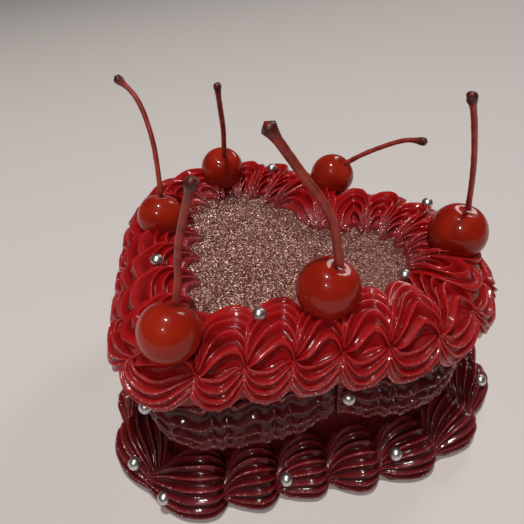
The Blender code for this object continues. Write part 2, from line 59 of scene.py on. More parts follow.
# The cake itself: a heart-shaped sponge, 47.5 mm high, under smooth crimson icing.
# Its flat top is covered with rose glitter, pressed on by hand, so it is not quite even.
SIDE = 64 * MM
TIP_Y = -52.8 * MM
TIP_ROUND = 14 * MM
CLEFT_ROUND = 8 * MM
CAKE_HEIGHT = 47.5 * MM
LOBE_RADIUS = SIDE / 2
LOBE_X = SIDE / math.sqrt(8)
LOBE_Y = TIP_Y + 3 * LOBE_X
TIP_ARC = TIP_ROUND * math.pi / 4
STRAIGHT = SIDE - TIP_ROUND
CLEFT_Y = LOBE_Y + math.sqrt((LOBE_RADIUS + CLEFT_ROUND) ** 2 - LOBE_X ** 2)
LOBE_END = math.atan2(CLEFT_Y - LOBE_Y, -LOBE_X)
LOBE_ARC = LOBE_RADIUS * (LOBE_END + math.pi / 4)
CLEFT_ARC = CLEFT_ROUND * (LOBE_END - math.pi / 2)
HALF_LENGTH = TIP_ARC + STRAIGHT + LOBE_ARC + CLEFT_ARC
TIP_INWARD = 0.8
CLEFT_OUTWARD = 0.85
CLEFT_OPENING = 1.9


def on_wall(distance, out, z):
    """Points beside the wall: how far round from the tip, how far out from it, and how high.

    Inside the tip and in the cleft they are held back, so that no two of them cross.
    """
    distance, out, z = np.broadcast_arrays(np.asarray(distance, float), np.asarray(out, float), z)
    distance = (distance + HALF_LENGTH) % (2 * HALF_LENGTH) - HALF_LENGTH
    along = np.abs(distance)
    inward = TIP_INWARD * TIP_ROUND + np.maximum(0, along - TIP_ARC)
    outward = CLEFT_OUTWARD * CLEFT_ROUND + CLEFT_OPENING * np.maximum(0, HALF_LENGTH - CLEFT_ARC - along)
    held = np.clip(out, -inward, outward)
    lobe_start = TIP_ARC + STRAIGHT
    short = np.minimum(along - lobe_start, 0) / math.sqrt(2)
    where = [along < TIP_ARC, along < lobe_start + LOBE_ARC]
    lobe_angle = -math.pi / 4 + np.maximum(along - lobe_start, 0) / LOBE_RADIUS
    cleft_angle = LOBE_END - (along - lobe_start - LOBE_ARC) / CLEFT_ROUND
    angle = np.select(where, [-math.pi / 2 + along / TIP_ROUND, lobe_angle], cleft_angle)
    x = np.select(where, [0, LOBE_X + short], 0)
    y = np.select(where, [TIP_Y + TIP_ROUND * math.sqrt(2), LOBE_Y + short], CLEFT_Y)
    radius = np.select(where, [TIP_ROUND, LOBE_RADIUS], -CLEFT_ROUND) + held
    side = np.where(distance < 0, -1, 1)
    return np.stack(((x + np.cos(angle) * radius) * side, y + np.sin(angle) * radius, z), axis=-1)


def wobble(points, size, seed):
    """A smooth random value from -1 to 1 at each point, with lumps of a given size."""
    flat = points.reshape(-1, 3) / size + seed
    values = [noise.noise(spot) for spot in flat]
    return np.array(values).reshape(points.shape[:-1])


def bend_ball(name, grid):
    """A round ball whose rings and segments are moved on to a grid of points, pole to pole."""
    rows, columns = grid.shape[0] - 1, grid.shape[1]
    bpy.ops.object.select_all(action="DESELECT")
    bpy.ops.mesh.primitive_uv_sphere_add(segments=columns, ring_count=rows, radius=1)
    ball = bpy.context.object
    ball.name = name
    spots = np.empty(3 * len(ball.data.vertices))
    ball.data.vertices.foreach_get("co", spots)
    spots = spots.reshape(-1, 3)
    row = np.rint(np.arccos(np.clip(spots[:, 2], -1, 1)) * rows / math.pi).astype(int)
    column = np.rint(np.arctan2(spots[:, 1], spots[:, 0]) * columns / (2 * math.pi)).astype(int) % columns
    ends = grid.copy()
    ends[0], ends[-1] = grid[0].mean(axis=0), grid[-1].mean(axis=0)
    ball.data.vertices.foreach_set("co", ends[row, column].ravel())
    return ball, row, column


def turn_outward(piece):
    """All faces outward and smooth."""
    bpy.ops.object.select_all(action="DESELECT")
    piece.select_set(True)
    bpy.context.view_layer.objects.active = piece
    bpy.ops.object.mode_set(mode="EDIT")
    bpy.ops.mesh.select_all(action="SELECT")
    bpy.ops.mesh.normals_make_consistent(inside=False)
    bpy.ops.object.mode_set(mode="OBJECT")
    bpy.ops.object.shade_smooth()


def seat_piece(piece, material, slot, *nodes):
    """Give a piece its material and let it stand for its nodes."""
    piece.data.materials.clear()
    piece.data.materials.append(material)
    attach(piece, "root")
    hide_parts(*nodes)


def add_node(tree, kind, **settings):
    """A node with its own settings."""
    made = tree.nodes.new(kind)
    for setting, value in settings.items():
        setattr(made, setting, value)
    return made


def glitter_group():
    """Loose flakes: each cell has its own shade, its own pick and its own tilt."""
    tree = bpy.data.node_groups.new("glitter_flakes", "ShaderNodeTree")
    tree.interface.new_socket("Flakes per Metre", in_out="INPUT", socket_type="NodeSocketFloat")
    tree.interface.new_socket("Tilt", in_out="INPUT", socket_type="NodeSocketFloat")
    tree.interface.new_socket("Shade", in_out="OUTPUT", socket_type="NodeSocketFloat")
    tree.interface.new_socket("Pick", in_out="OUTPUT", socket_type="NodeSocketFloat")
    tree.interface.new_socket("Normal", in_out="OUTPUT", socket_type="NodeSocketVector")
    given = add_node(tree, "NodeGroupInput")
    result = add_node(tree, "NodeGroupOutput")
    coordinate = add_node(tree, "ShaderNodeTexCoord")
    cells = add_node(tree, "ShaderNodeTexVoronoi", feature="F1")
    parts = add_node(tree, "ShaderNodeSeparateColor")
    centred = add_node(tree, "ShaderNodeVectorMath", operation="SUBTRACT")
    centred.inputs[1].default_value = (0.5, 0.5, 0.5)
    tilted = add_node(tree, "ShaderNodeVectorMath", operation="SCALE")
    surface = add_node(tree, "ShaderNodeNewGeometry")
    leaned = add_node(tree, "ShaderNodeVectorMath", operation="ADD")
    unit = add_node(tree, "ShaderNodeVectorMath", operation="NORMALIZE")
    link = tree.links.new
    link(coordinate.outputs["Object"], cells.inputs["Vector"])
    link(given.outputs["Flakes per Metre"], cells.inputs["Scale"])
    link(cells.outputs["Color"], parts.inputs["Color"])
    link(cells.outputs["Color"], centred.inputs[0])
    link(centred.outputs["Vector"], tilted.inputs[0])
    link(given.outputs["Tilt"], tilted.inputs["Scale"])
    link(tilted.outputs["Vector"], leaned.inputs[0])
    link(surface.outputs["Normal"], leaned.inputs[1])
    link(leaned.outputs["Vector"], unit.inputs[0])
    link(parts.outputs["Red"], result.inputs["Shade"])
    link(parts.outputs["Green"], result.inputs["Pick"])
    link(unit.outputs["Vector"], result.inputs["Normal"])
    return tree


flakes = glitter_group()
TOP_FLAKES_PER_METRE = 3300
TOP_FLAKE_TILT = 1.5
CREAM_FLAKE_TILT = 1.3
PATCHES_PER_METRE = 130
PATCH_SHARE = 0.7
FILM_GAIN = 2.0
GRAINS_PER_METRE = 900
GRAIN_DEPTH = 0.12 * MM
GRAIN_ROUGHNESS = 0.16
COAT_ROUGHNESS = 0.08
CREAM_SPECULAR = 0.12


def new_material(name):
    """An empty node material with its shader."""
    material = bpy.data.materials.new(name)
    material.use_nodes = True
    return material, material.node_tree, material.node_tree.nodes["Principled BSDF"]


def add_flakes(tree, per_metre, tilt):
    """Glitter flakes at their own size and tilt."""
    group = add_node(tree, "ShaderNodeGroup", node_tree=flakes)
    group.inputs["Flakes per Metre"].default_value = per_metre
    group.inputs["Tilt"].default_value = tilt
    return group


def set_ramp(ramp, stops):
    """Colour stops on a ramp."""
    elements = ramp.color_ramp.elements
    while len(elements) < len(stops):
        elements.new(0.5)
    for element, (position, colour) in zip(elements, stops):
        element.position = position
        element.color = (*colour, 1)


def rose_glitter():
    """A close layer of rose gold flakes over dark icing."""
    material, tree, shader = new_material("rose_glitter")
    link = tree.links.new
    group = add_flakes(tree, TOP_FLAKES_PER_METRE, TOP_FLAKE_TILT)
    shade = add_node(tree, "ShaderNodeValToRGB")
    # Dark to near-white flakes: partly their own tones, partly painted glints at the pale end.
    set_ramp(shade, ((0.0, (0.14, 0.04, 0.032)), (0.40, (0.30, 0.11, 0.085)), (0.78, (0.46, 0.20, 0.16)),
                     (0.94, (0.80, 0.55, 0.48)), (1.0, (1.0, 0.93, 0.88))))
    link(group.outputs["Shade"], shade.inputs["Fac"])
    link(shade.outputs["Color"], shader.inputs["Base Color"])
    link(group.outputs["Normal"], shader.inputs["Normal"])
    shader.inputs["Metallic"].default_value = 0.55
    shader.inputs["Roughness"].default_value = 0.38
    return material


def cream(name, deep_tone_and_flute_shade, bright_tone_and_crest_highlight, pearl, flakes_from, per_metre, coat, roughness):
    """Piped icing, glossy, and pearly where lustre powder lies. It is darker in the flutes and lighter on
    the crests from the piece's crest value, painted shade and painted highlight over random patches of
    tone.

    A flake shows where its own pick and the powder under it add up to more than flakes_from.
    """
    material, tree, shader = new_material(name)
    link = tree.links.new
    coordinate = add_node(tree, "ShaderNodeTexCoord")
    patches = add_node(tree, "ShaderNodeTexNoise")
    patches.inputs["Scale"].default_value = PATCHES_PER_METRE
    patches.inputs["Detail"].default_value = 3
    colour = add_node(tree, "ShaderNodeMix", data_type="RGBA")
    colour.inputs["A"].default_value = (*deep_tone_and_flute_shade, 1)
    colour.inputs["B"].default_value = (*bright_tone_and_crest_highlight, 1)
    dust_sheen_dryness = add_node(tree, "ShaderNodeAttribute", attribute_name="dust_sheen_dryness")
    ridge_shade = add_node(tree, "ShaderNodeAttribute", attribute_name="ridge_shade")
    # Painted shade in the flutes and painted highlight on the crests, mixed with random patches of tone.
    tone_and_ridge_shade = add_node(tree, "ShaderNodeMath", operation="MULTIPLY_ADD", use_clamp=True)
    tone_and_ridge_shade.inputs[1].default_value = PATCH_SHARE
    group = add_flakes(tree, per_metre, CREAM_FLAKE_TILT)
    thick = add_node(tree, "ShaderNodeMath", operation="ADD")
    lies = add_node(tree, "ShaderNodeMath", operation="GREATER_THAN")
    lies.inputs[1].default_value = flakes_from
    # Pearl film where the powder lies; on the crests it is partly painted highlight.
    film = add_node(tree, "ShaderNodeMath", operation="MULTIPLY")
    filmed = add_node(tree, "ShaderNodeMix", data_type="RGBA")
    filmed.inputs["B"].default_value = (*pearl, 1)
    film_share = add_node(tree, "ShaderNodeMath", operation="MULTIPLY", use_clamp=True)
    film_share.inputs[1].default_value = FILM_GAIN
    flake_shade = add_node(tree, "ShaderNodeValToRGB")
    set_ramp(flake_shade, ((0.0, (0.48, 0.14, 0.14)), (0.7, (0.62, 0.28, 0.27)), (1.0, (1.0, 0.85, 0.82))))
    flaked = add_node(tree, "ShaderNodeMix", data_type="RGBA")
    grain = add_node(tree, "ShaderNodeTexNoise")
    grain.inputs["Scale"].default_value = GRAINS_PER_METRE
    grain.inputs["Detail"].default_value = 4
    bump = add_node(tree, "ShaderNodeBump")
    bump.inputs["Strength"].default_value = 0.5
    bump.inputs["Distance"].default_value = GRAIN_DEPTH
    facing = add_node(tree, "ShaderNodeMix", data_type="VECTOR")
    rough = add_node(tree, "ShaderNodeMapRange")
    rough.inputs["To Min"].default_value = roughness
    rough.inputs["To Max"].default_value = roughness + GRAIN_ROUGHNESS
    link(coordinate.outputs["Object"], patches.inputs["Vector"])
    link(coordinate.outputs["Object"], grain.inputs["Vector"])
    link(patches.outputs["Fac"], tone_and_ridge_shade.inputs[0])
    link(ridge_shade.outputs["Fac"], tone_and_ridge_shade.inputs[2])
    link(tone_and_ridge_shade.outputs["Value"], colour.inputs["Factor"])
    link(dust_sheen_dryness.outputs["Fac"], thick.inputs[0])
    link(group.outputs["Pick"], thick.inputs[1])
    link(thick.outputs["Value"], lies.inputs[0])
    link(dust_sheen_dryness.outputs["Fac"], film.inputs[0])
    link(patches.outputs["Fac"], film.inputs[1])
    link(film.outputs["Value"], film_share.inputs[0])
    link(film_share.outputs["Value"], filmed.inputs["Factor"])
    link(group.outputs["Shade"], flake_shade.inputs["Fac"])
    link(flake_shade.outputs["Color"], flaked.inputs["B"])
    link(colour.outputs["Result"], filmed.inputs["A"])
    link(filmed.outputs["Result"], flaked.inputs["A"])
    link(lies.outputs["Value"], flaked.inputs["Factor"])
    link(flaked.outputs["Result"], shader.inputs["Base Color"])
    link(grain.outputs["Fac"], bump.inputs["Height"])
    link(bump.outputs["Normal"], facing.inputs["A"])
    link(group.outputs["Normal"], facing.inputs["B"])
    link(lies.outputs["Value"], facing.inputs["Factor"])
    link(facing.outputs["Result"], shader.inputs["Normal"])
    link(bump.outputs["Normal"], shader.inputs["Coat Normal"])
    link(lies.outputs["Value"], shader.inputs["Metallic"])
    link(grain.outputs["Fac"], rough.inputs["Value"])
    link(rough.outputs["Result"], shader.inputs["Roughness"])
    shader.inputs["Coat Weight"].default_value = coat
    shader.inputs["Coat Roughness"].default_value = COAT_ROUGHNESS
    shader.inputs["Specular IOR Level"].default_value = CREAM_SPECULAR
    return material


def set_dust_sheen_dryness(piece, dust_sheen_dryness):
    """How much pearl powder lies on each point, partly painted highlight along the crests, or how dry a
    stem is there, kept as an attribute.
    """
    layer = piece.data.attributes.new("dust_sheen_dryness", "FLOAT", "POINT")
    layer.data.foreach_set("value", np.asarray(dust_sheen_dryness, float).ravel())


# A darker copy of the crimson cream for the cake's wall and the foot border: painted shade.
shaded_crimson_cream = cream("shaded_crimson_cream", deep_tone_and_flute_shade=(0.035, 0.001, 0.002), bright_tone_and_crest_highlight=(0.19, 0.002, 0.004),
                   pearl=(0.42, 0.11, 0.13), flakes_from=1.05, per_metre=3300, coat=0.6, roughness=0.36)
glitter_top = rose_glitter()

# The body's grid runs from the middle of its base, up the wall and in to the middle of its top.
BODY_COLUMNS = 288
BOTTOM_ROWS = 9
WALL_ROWS = 16
TOP_ROWS = 44
BODY_MIDDLE = np.array((0, -2 * MM, 0))
WALL_FROM = 0.5 * MM
WALL_TO = CAKE_HEIGHT - 0.6 * MM
EDGE_Z = CAKE_HEIGHT - 0.2 * MM
EDGE_SHARE = 0.998
TOP_SHARE = 0.994
GLITTER_LUMPS = 0.35 * MM
GLITTER_GRAIN = 0.12 * MM
GLITTER_EDGE = 0.5 * MM
WALL_DUST = 0.06
body_distance = np.linspace(-HALF_LENGTH, HALF_LENGTH, BODY_COLUMNS, endpoint=False)
body_rim = on_wall(body_distance, 0, 0)
body_rows = [(share, 0) for share in np.linspace(0, 1, BOTTOM_ROWS)]
body_rows += [(1, z) for z in np.linspace(WALL_FROM, WALL_TO, WALL_ROWS)] + [(EDGE_SHARE, EDGE_Z)]
body_rows += [(share, CAKE_HEIGHT) for share in np.linspace(TOP_SHARE, 0, TOP_ROWS)]
body_grid = np.array([BODY_MIDDLE + (body_rim - BODY_MIDDLE) * share + (0, 0, z) for share, z in body_rows])
pressed = GLITTER_LUMPS * wobble(body_grid, 9 * MM, 3) + GLITTER_GRAIN * wobble(body_grid, 2.5 * MM, 8)
body_grid[..., 2] += np.where(body_grid[..., 2] > CAKE_HEIGHT - 0.1 * MM, pressed, 0)
cake, row, column = bend_ball("iced_cake", body_grid)
turn_outward(cake)
set_dust_sheen_dryness(cake, np.full(len(cake.data.vertices), WALL_DUST))
# The wall takes the darker copy of the crimson cream, painted shade; the top takes the glitter.
seat_piece(cake, shaded_crimson_cream, "rose_glitter", "cake")
cake.data.materials.append(glitter_top)
for face in cake.data.polygons:
    on_top = face.center.z > CAKE_HEIGHT - GLITTER_EDGE and face.normal.z > 0.5
    face.material_index = 1 if on_top else 0

# The top border: a band of buttercream over the cake's edge, and on it 26 pairs of piped strokes.
# Each is one squeeze of a star nozzle, swept in an arch and laid over the end of the one before. At
# the front they rise from the crease, on the left they run long, and elsewhere they curl round pits.
STROKE_PAIRS = 26
FIRST_JOIN = 0.76
STROKE_PATH_OUT = -2 * MM
BED_CORNER_OUT = -4 * MM
BED_CORNER_Z = 40 * MM
BED_RADIUS = 8.6 * MM
BED_QUARTER = BED_RADIUS * math.pi / 4
INNER_ACROSS = 19.4 * MM
CURL_ACROSS = 20.8 * MM
CURL_HEIGHT = 7 * MM
INNER_HEIGHT = 5.4 * MM
INNER_RIDGES = 6
OUTER_ACROSS = 11.6 * MM
OUTER_HEIGHT = 4.4 * MM
OUTER_RIDGES = 6
STROKE_ROWS = 44
POINTS_PER_RIDGE = 9
UNDERSIDE_POINTS = 10
STROKE_SUNK = 2.2 * MM
RIDGE_RELIEF = 1.8 * MM
RELIEF_SHARE = 0.8
TAIL_LOWERED = 0.42
FULL_WIDTH = 0.62
THINNING = 0.7
DOME_ROUNDNESS = 0.6
END_ROUNDNESS = 14
END_SLOWING = 0.08
EDGE_FADE = 10
ACROSS_SLIP = (0.94, 1.03)
HEIGHT_SLIP = (0.9, 1.08)
STOP_SLIP = 0.035
RIDGE_SLIP = 0.15
CREAM_LUMPS = 0.35 * MM
CREAM_GRAIN = 0.12 * MM
BAND_DUST = 0.05
FRONT_LEAN = 0.85
CURL_LEAN = 1.3
FRONT_FROM = -8 * MM
FRONT_TO = 78 * MM
# Each line has seven stops: how far along in pitches, then how far across in reaches.
FRONT_EDGE = ((-0.50, 0.00), (-0.42, 0.32), (-0.15, 0.70), (0.26, 0.97), (0.72, 1.00), (0.96, 0.66),
              (0.82, 0.02))
FRONT_HEART = ((-0.47, -0.05), (-0.34, -0.10), (-0.12, -0.10), (0.10, -0.06), (0.28, -0.02),
               (0.40, -0.06), (0.48, -0.15))
CURL_EDGE = ((-0.50, 1.00), (-0.66, 0.60), (-0.50, 0.12), (0.00, -0.08), (0.50, 0.10), (0.66, 0.58),
             (0.52, 1.00))
CURL_HEART = ((-0.38, 1.00), (-0.18, 0.92), (-0.08, 0.84), (0.03, 0.80), (0.14, 0.84), (0.20, 0.92),
              (0.22, 1.00))
RAIL_EDGE = ((-0.34, 1.00), (-0.54, 0.72), (-0.40, 0.24), (0.05, -0.02), (0.55, -0.05), (0.92, 0.02),
             (1.10, 0.22))
RAIL_HEART = ((-0.24, 1.02), (-0.26, 0.92), (-0.12, 0.82), (0.12, 0.80), (0.46, 0.84), (0.80, 0.74),
              (1.04, 0.44))
RAIL_FROM = -98 * MM
CUP_EDGE = ((-0.50, 0.02), (-0.58, 0.50), (-0.34, 0.94), (0.06, 0.98), (0.40, 0.66), (0.58, 0.30),
            (0.62, 0.10))
CUP_HEART = ((-0.42, -0.06), (-0.36, 0.00), (-0.20, 0.03), (0.04, 0.02), (0.30, -0.02), (0.50, 0.00),
             (0.60, 0.04))
hand = np.random.default_rng(5)
crimson_cream = cream("crimson_cream", deep_tone_and_flute_shade=(0.12, 0.001, 0.002), bright_tone_and_crest_highlight=(0.46, 0.004, 0.005),
                      pearl=(0.55, 0.16, 0.18), flakes_from=1.05, per_metre=3300, coat=0.45, roughness=0.30)


def spaced(share, out):
    """The distance at an even share from -1 to 1 of the way round, along a curve beside the wall."""
    lengths = ((TIP_ROUND + out) * TIP_ARC / TIP_ROUND, STRAIGHT,
               (LOBE_RADIUS + out) * LOBE_ARC / LOBE_RADIUS, (CLEFT_ROUND - out) * CLEFT_ARC / CLEFT_ROUND)
    reached = abs(share) * sum(lengths)
    distance = 0
    for length, arc in zip(lengths, (TIP_ARC, STRAIGHT, LOBE_ARC, CLEFT_ARC)):
        distance += arc * min(max(reached / length, 0), 1)
        reached -= length
    return math.copysign(distance, share)


def on_bed(distance, across, lift):
    """Points lifted square off the band: across is positive towards the glittered top."""
    angle = np.clip(math.pi / 4 - across / BED_RADIUS, 0, math.pi / 2)
    out = BED_CORNER_OUT + BED_RADIUS * np.sin(angle) - np.maximum(across - BED_QUARTER, 0)
    z = BED_CORNER_Z + BED_RADIUS * np.cos(angle) + np.minimum(across + BED_QUARTER, 0)
    return on_wall(distance, out + np.sin(angle) * lift, z + np.cos(angle) * lift)


def raise_along(points, away, amount):
    """Move a grid of points square to its own surface, on the side that away points to."""
    square = np.cross(np.gradient(points, axis=0), np.gradient(points, axis=1))
    length = np.linalg.norm(square, axis=-1, keepdims=True)
    square = square / np.maximum(length, 1e-12)
    square = square * np.where((square * away).sum(axis=-1, keepdims=True) < 0, -1, 1)
    return points + square * amount[..., None]


def fluted(phase):
    """The star nozzle's mark: a sharp crest at each whole number and a round flute between."""
    return 1 - np.abs(np.sin(math.pi * phase))


def smooth_line(stops, steps):
    """A smooth line through a few stops, read at steps counted in stops."""
    stops = np.asarray(stops, float)
    ends = np.vstack((2 * stops[0] - stops[1], stops, 2 * stops[-1] - stops[-2]))
    i = np.clip(np.asarray(steps).astype(int), 0, len(stops) - 2)
    t = (steps - i)[:, None]
    a, b, c, d = ends[i], ends[i + 1], ends[i + 2], ends[i + 3]
    bend = (2 * a - 5 * b + 4 * c - d) * t ** 2 + (3 * b - a - 3 * c + d) * t ** 3
    return 0.5 * (2 * b + (c - a) * t + bend)


def set_ridge_shading(piece, ridged):
    """How near each point lies to a crest, kept as the piece's own attribute; the icing reads it as painted
    highlight on the crests and painted shade in the flutes.
    """
    layer = piece.data.attributes.new("ridge_shade", "FLOAT", "POINT")
    layer.data.foreach_set("value", np.asarray(ridged, float).ravel())


def piped_stroke(start, end, edge, heart, lean, across, height, way, ridges, dust_and_sheen):
    """One stroke of the border: ridges nested between its outer edge and its heart, round at both ends."""
    centre = (start + end) / 2
    scale = np.array((end - start, across * hand.uniform(*ACROSS_SLIP)))
    height = height * hand.uniform(*HEIGHT_SLIP)
    slip = hand.uniform(-STOP_SLIP, STOP_SLIP, (len(edge), 2))
    even = np.linspace(0, 1, STROKE_ROWS + 1)
    share = even - END_SLOWING * np.sin(2 * math.pi * even)
    steps = share * (len(edge) - 1)
    edge_line = smooth_line(np.array(edge) + slip, steps) * scale
    heart_line = smooth_line(np.array(heart) + 0.5 * slip, steps) * scale
    width = np.linalg.norm(edge_line - heart_line, axis=-1)[:, None]
    ends = np.sqrt(np.clip(1 - np.abs(2 * share - 1) ** END_ROUNDNESS, 0, 1))[:, None]
    top_points = ridges * POINTS_PER_RIDGE
    over, below = np.arange(top_points + 1) / top_points, np.linspace(1, 0, UNDERSIDE_POINTS)
    reach = np.concatenate((over, below))[None]
    under = (np.arange(reach.shape[1]) > top_points)[None]
    placed = (0.5 + (reach - 0.5) * ends)[..., None]
    spread = heart_line[:, None] + (edge_line - heart_line)[:, None] * placed
    dome = np.sin(math.pi * np.clip(reach, 0, 1) ** lean) ** DOME_ROUNDNESS
    swell = np.clip(width / (FULL_WIDTH * width.max()), 0, 1) ** THINNING
    swell = swell * ends * (1 - TAIL_LOWERED * share[:, None] ** 2)
    lift = np.where(under, -STROKE_SUNK * ends, height * swell * dome)
    points = on_bed(centre + spread[..., 0], way * spread[..., 1], lift)
    away = on_bed(centre + spread[..., 0], way * spread[..., 1], lift + MM) - points
    relief = np.minimum(RIDGE_RELIEF, RELIEF_SHARE * width / ridges) * ends
    ridged = fluted(reach * ridges + hand.uniform(-RIDGE_SLIP, RIDGE_SLIP))
    crest = (ridged - 0.5) * relief
    crest = crest * np.clip(EDGE_FADE * (1 - reach), 0, 1) * np.clip(EDGE_FADE * reach, 0, 1)
    crest = crest + CREAM_LUMPS * wobble(points, 5 * MM, 11) + CREAM_GRAIN * wobble(points, 1.3 * MM, 4)
    points = raise_along(points, away, np.where(under, 0, crest))
    stroke, row, column = bend_ball("stroke", points)
    turn_outward(stroke)
    # Pearl powder, thicker on the crests as partly painted highlight.
    dust_sheen_dryness = dust_and_sheen(np.abs(spread[..., 1]) / across, ridged ** 3) * (1 + 0.9 * wobble(points, 7 * MM, 21))
    set_dust_sheen_dryness(stroke, np.clip(dust_sheen_dryness, 0, 1)[row, column])
    # Lighter on the crests, darker in the flutes: painted highlight and painted shade.
    set_ridge_shading(stroke, np.broadcast_to(ridged, points.shape[:2])[row, column])
    return stroke


def front_dust_and_sheen(share, crest):
    """A little glitter along the inner edge, and pearl powder on the crests that is partly painted
    highlight.
    """
    return 0.01 + 0.10 * crest + 0.30 * np.clip((share - 0.82) / 0.18, 0, 1)


def curl_dust_and_sheen(share, crest):
    """Glitter from the cake's top, pressed well up the inner slope, and a little pearl powder on the crests
    that is partly painted highlight.
    """
    return 0.01 + 0.06 * crest + 0.36 * np.clip((share - 0.60) / 0.34, 0, 1) ** 1.3


def cup_dust_and_sheen(share, crest):
    """Pearl powder that lies thin over the side strokes and thicker on their crests, partly painted
    highlight.
    """
    return 0.02 + 0.50 * crest * (0.5 + 0.5 * share)


def join_pieces(name, parts):
    """One object from several parts."""
    bpy.ops.object.select_all(action="DESELECT")
    for part in parts:
        part.select_set(True)
    bpy.context.view_layer.objects.active = parts[0]
    bpy.ops.object.join()
    joined = bpy.context.object
    joined.name = name
    return joined


FRONT_ARCH = {"edge": FRONT_EDGE, "heart": FRONT_HEART, "lean": FRONT_LEAN, "across": INNER_ACROSS,
              "height": INNER_HEIGHT, "way": 1, "ridges": INNER_RIDGES, "dust_and_sheen": front_dust_and_sheen}
RAIL_ARCH = {"edge": RAIL_EDGE, "heart": RAIL_HEART, "lean": CURL_LEAN, "across": CURL_ACROSS,
             "height": CURL_HEIGHT, "way": 1, "ridges": INNER_RIDGES, "dust_and_sheen": curl_dust_and_sheen}
CURL_ARCH = {**RAIL_ARCH, "edge": CURL_EDGE, "heart": CURL_HEART}
SIDE_CUP = {"edge": CUP_EDGE, "heart": CUP_HEART, "lean": FRONT_LEAN, "across": OUTER_ACROSS,
            "height": OUTER_HEIGHT, "way": -1, "ridges": OUTER_RIDGES, "dust_and_sheen": cup_dust_and_sheen}
joins = [spaced(-1 + 2 * (i + FIRST_JOIN) / STROKE_PAIRS, STROKE_PATH_OUT) for i in range(STROKE_PAIRS)]
joins.append(joins[0] + 2 * HALF_LENGTH)
inner_strokes = []
outer_strokes = []
for start, end in zip(joins, joins[1:]):
    middle = (start + end) / 2
    if FRONT_FROM < middle < FRONT_TO:
        arch = FRONT_ARCH
    elif RAIL_FROM < middle < FRONT_FROM:
        arch = RAIL_ARCH
    else:
        arch = CURL_ARCH
    inner_strokes.append(piped_stroke(start, end, **arch))
    outer_strokes.append(piped_stroke(start, end, **SIDE_CUP))
half = STROKE_PAIRS // 2
for name, strokes in (("inner_strokes_left", inner_strokes[:half]),
                      ("inner_strokes_right", inner_strokes[half:]),
                      ("outer_strokes_left", outer_strokes[:half]),
                      ("outer_strokes_right", outer_strokes[half:])):
    seat_piece(join_pieces(name, strokes), crimson_cream, "crimson_cream", "top_border")


def bend_ring(name, grid):
    """A round ring whose sections are moved on to a grid of points that closes both ways."""
    rows, columns = grid.shape[:2]
    bpy.ops.object.select_all(action="DESELECT")
    bpy.ops.mesh.primitive_torus_add(major_segments=rows, minor_segments=columns, major_radius=1,
                                     minor_radius=0.25)
    ring = bpy.context.object
    ring.name = name
    spots = np.empty(3 * len(ring.data.vertices))
    ring.data.vertices.foreach_get("co", spots)
    spots = spots.reshape(-1, 3)
    row = np.rint(np.arctan2(spots[:, 1], spots[:, 0]) * rows / (2 * math.pi)).astype(int) % rows
    reach = np.hypot(spots[:, 0], spots[:, 1]) - 1
    column = np.rint(np.arctan2(spots[:, 2], reach) * columns / (2 * math.pi)).astype(int) % columns
    ring.data.vertices.foreach_set("co", grid[row, column].ravel())
    return ring, row, column


BAND_ROWS = 300
BAND_ON_TOP = 6.5 * MM
BAND_DOWN_SIDE = 3.6 * MM
BAND_POINTS = 26
BAND_UNDER_OUT = np.array((-2, -8, -14)) * MM
BAND_UNDER_Z = np.array((36.2, 47.2, 47.2)) * MM
band_across = np.linspace(BED_QUARTER + BAND_ON_TOP, -BED_QUARTER - BAND_DOWN_SIDE, BAND_POINTS)
band_distance = np.linspace(-HALF_LENGTH, HALF_LENGTH, BAND_ROWS, endpoint=False)[:, None]
band_top = on_bed(band_distance, band_across[None], 0)
band_under = on_wall(band_distance, BAND_UNDER_OUT, BAND_UNDER_Z)
band_points = np.concatenate((band_top, band_under), axis=1)
band, row, column = bend_ring("border_band", band_points)
turn_outward(band)
set_dust_sheen_dryness(band, np.full(len(band.data.vertices), BAND_DUST))
seat_piece(band, crimson_cream, "crimson_cream", "top_border")

# The swags: eight ruffled drapes of buttercream, piped on the wall with a shaking hand, drawn darker as
# painted shade. Each hangs between two joints under the border, in long folds that follow its hem.
SWAG_TOP = 33.8 * MM
SWAG_THICKNESS = 4.4 * MM
SWAG_JOINT_LOW = 21.5 * MM
SWAG_GAP = 0.3 * MM
RUFFLE_LENGTH = 5.6 * MM
SWAG_FOLDS = 4
SWAG_ROWS = 110
SWAG_FRONT_POINTS = 41
SWAG_BACK_POINTS = 8
SWAG_SAG = 2.4
SWAG_RELIEF = 2.2 * MM
HEM_SHAKE = 0.8 * MM
HEM_FADE = 8
SHAKE_DRIFT = 0.37
SHAKE_UNEVEN = 1.3
SHAKE_TRAIL = 0.6
BULGE_LEAST = 0.45
BULGE_MORE = 0.5
BULGE_FROM = 0.06
BULGE_SPAN = 0.9
BULGE_ROUNDNESS = 0.7
JOINT_THICKNESS = 0.6
JOINT_RELIEF = 0.4
FOLD_CROWDING = 1.3
FOLD_SHAKE = 0.12
SWAG_LUMPS = 0.35 * MM
SWAG_GRAIN = 0.15 * MM
# Each swag's name, then its start, its end and its lowest point in mm.
SWAG_JOINTS = (
    ("tip_to_right", -4.0, 46.5, 13.8),
    ("right_to_lobe", 46.5, 87.0, 18.0),
    ("round_right_lobe", 87.0, 124.0, 16.0),
    ("lobe_to_cleft", 124.0, 160.5, 15.5),
    ("cleft_to_lobe", -160.5, -124.0, 16.0),
    ("round_left_lobe", -124.0, -87.0, 15.5),
    ("lobe_to_left", -87.0, -47.0, 15.0),
    ("left_to_tip", -47.0, -4.0, 15.0),
)


